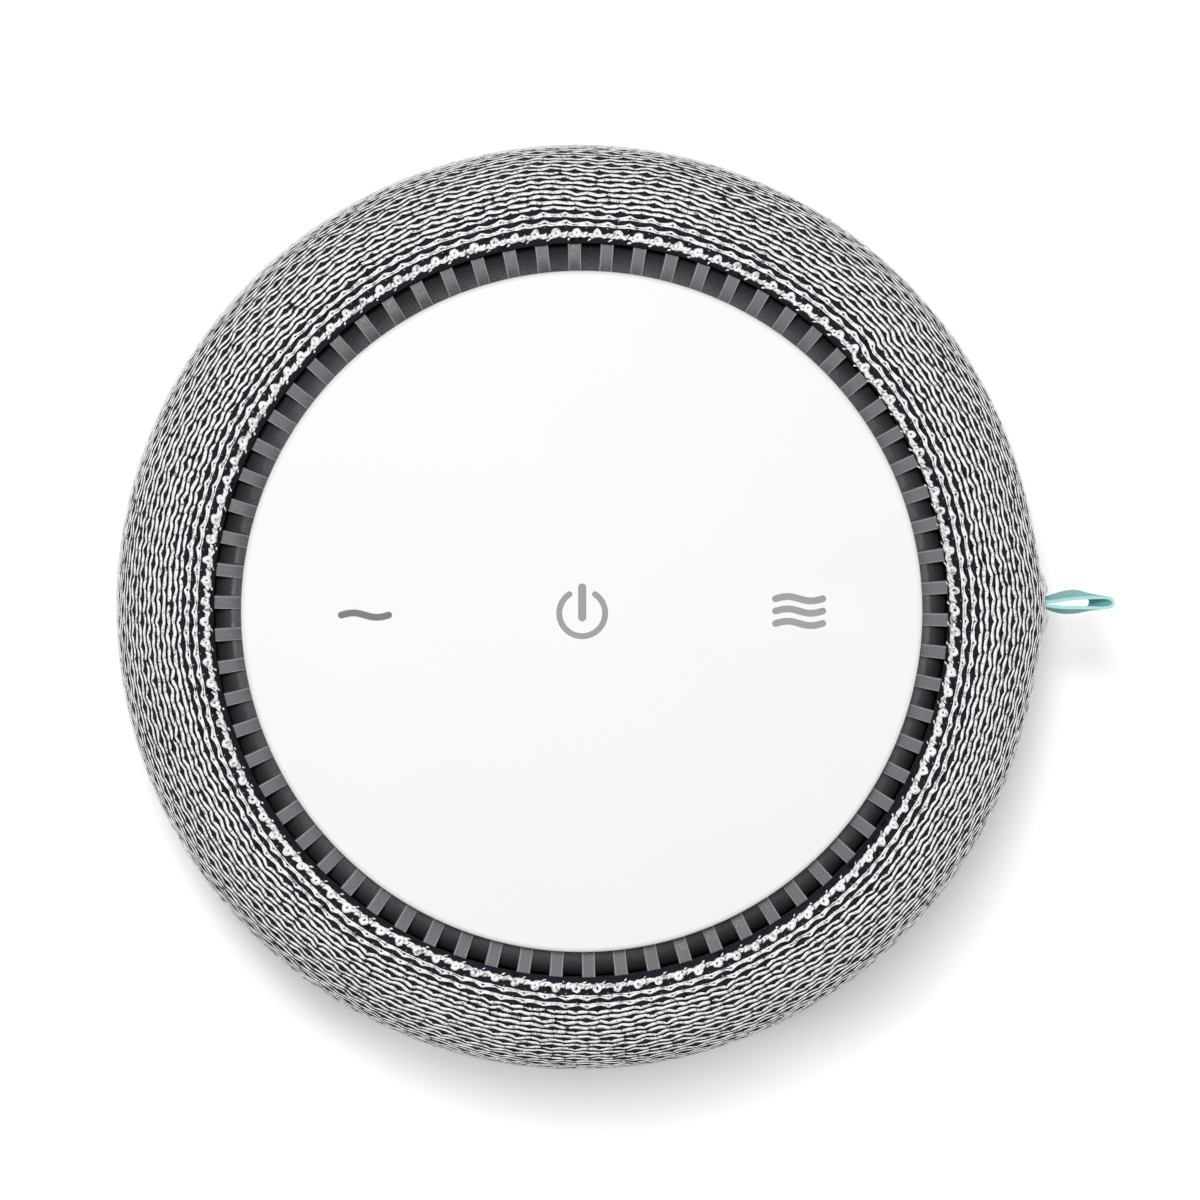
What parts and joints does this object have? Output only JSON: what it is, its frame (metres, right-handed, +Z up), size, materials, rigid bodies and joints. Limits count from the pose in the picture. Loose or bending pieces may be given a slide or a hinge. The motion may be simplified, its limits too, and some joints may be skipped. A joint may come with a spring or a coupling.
{
  "type": "white noise machine",
  "caption": "Round fan-based white noise machine with a knit-covered turning shell, a ribbed vent ring, a white touch panel and a ribbon loop.",
  "frame": {"origin": "centre of the plane that the rubber foot ring rests on", "axes": "+Z up, +X towards the ribbon loop, +Y away from the reader of the panel"},
  "size_m": [0.153, 0.142, 0.081],
  "materials": {
    "foot_rubber": "matte",
    "base_plastic": "fine texture",
    "screw_steel": "zinc plated",
    "inner_plastic": "moulded",
    "foam": "open cell",
    "board": "solder mask",
    "jack_plastic": "moulded",
    "contact_metal": "nickel plated",
    "lead_sheath": "soft sheath",
    "bracket_metal": "satin",
    "bush_bronze": "sintered",
    "core_steel": "rolled",
    "coil_copper": "enamelled",
    "magnet": "sintered",
    "fan_plastic": "moulded",
    "knit": "two-colour rib knit",
    "knit_edge": "knitted edge",
    "loop_ribbon": "woven ribbon",
    "vent_plastic": "fine texture",
    "panel_white": "satin",
    "icon_grey": "satin",
    "icon_dark": "satin"
  },
  "bodies": {
    "base": {"foot_ring": "foot_rubber", "base_plate": "base_plastic", "base_screws": "screw_steel", "acoustic_drum": "inner_plastic", "acoustic_foam": "foam", "main_board": "board", "board_screws": "screw_steel", "dc_jack": "jack_plastic", "jack_pin": "contact_metal", "touch_board": "board", "touch_lead": "lead_sheath", "motor_lead": "lead_sheath", "isolation_grommets": "foot_rubber", "motor_bracket": "bracket_metal", "bracket_screws": "screw_steel", "bracket_nuts": "screw_steel", "motor_bush": "bush_bronze", "thrust_pad": "inner_plastic", "motor_core": "core_steel", "motor_windings": "coil_copper", "top_chassis": "inner_plastic", "chassis_screws": "screw_steel", "vent_ring": "vent_plastic", "top_panel": "panel_white", "icon_power": "icon_grey", "icon_low_wave": "icon_dark", "icon_high_waves": "icon_grey", "panel_screws": "screw_steel"},
    "shell": {"shell_base_ring": "base_plastic", "outer_shell": "inner_plastic", "shutter_ring": "inner_plastic", "shell_screws": "screw_steel", "knit_sleeve": "knit", "rim_band": "knit_edge", "pull_loop": "loop_ribbon"},
    "fan": {"motor_shaft": "screw_steel", "rotor_cup": "core_steel", "rotor_magnet": "magnet", "fan_impeller": "fan_plastic"}
  },
  "joints": [
    {"name": "shell_turn", "type": "hinge", "parent": "base", "child": "shell", "pos_m": [0, 0, 0.0074], "axis": [0, 0, 1], "range_deg": [-10, 10]},
    {"name": "fan_spin", "type": "hinge", "parent": "base", "child": "fan", "pos_m": [0, 0, 0.045], "axis": [0, 0, 1], "continuous": true}
  ]
}
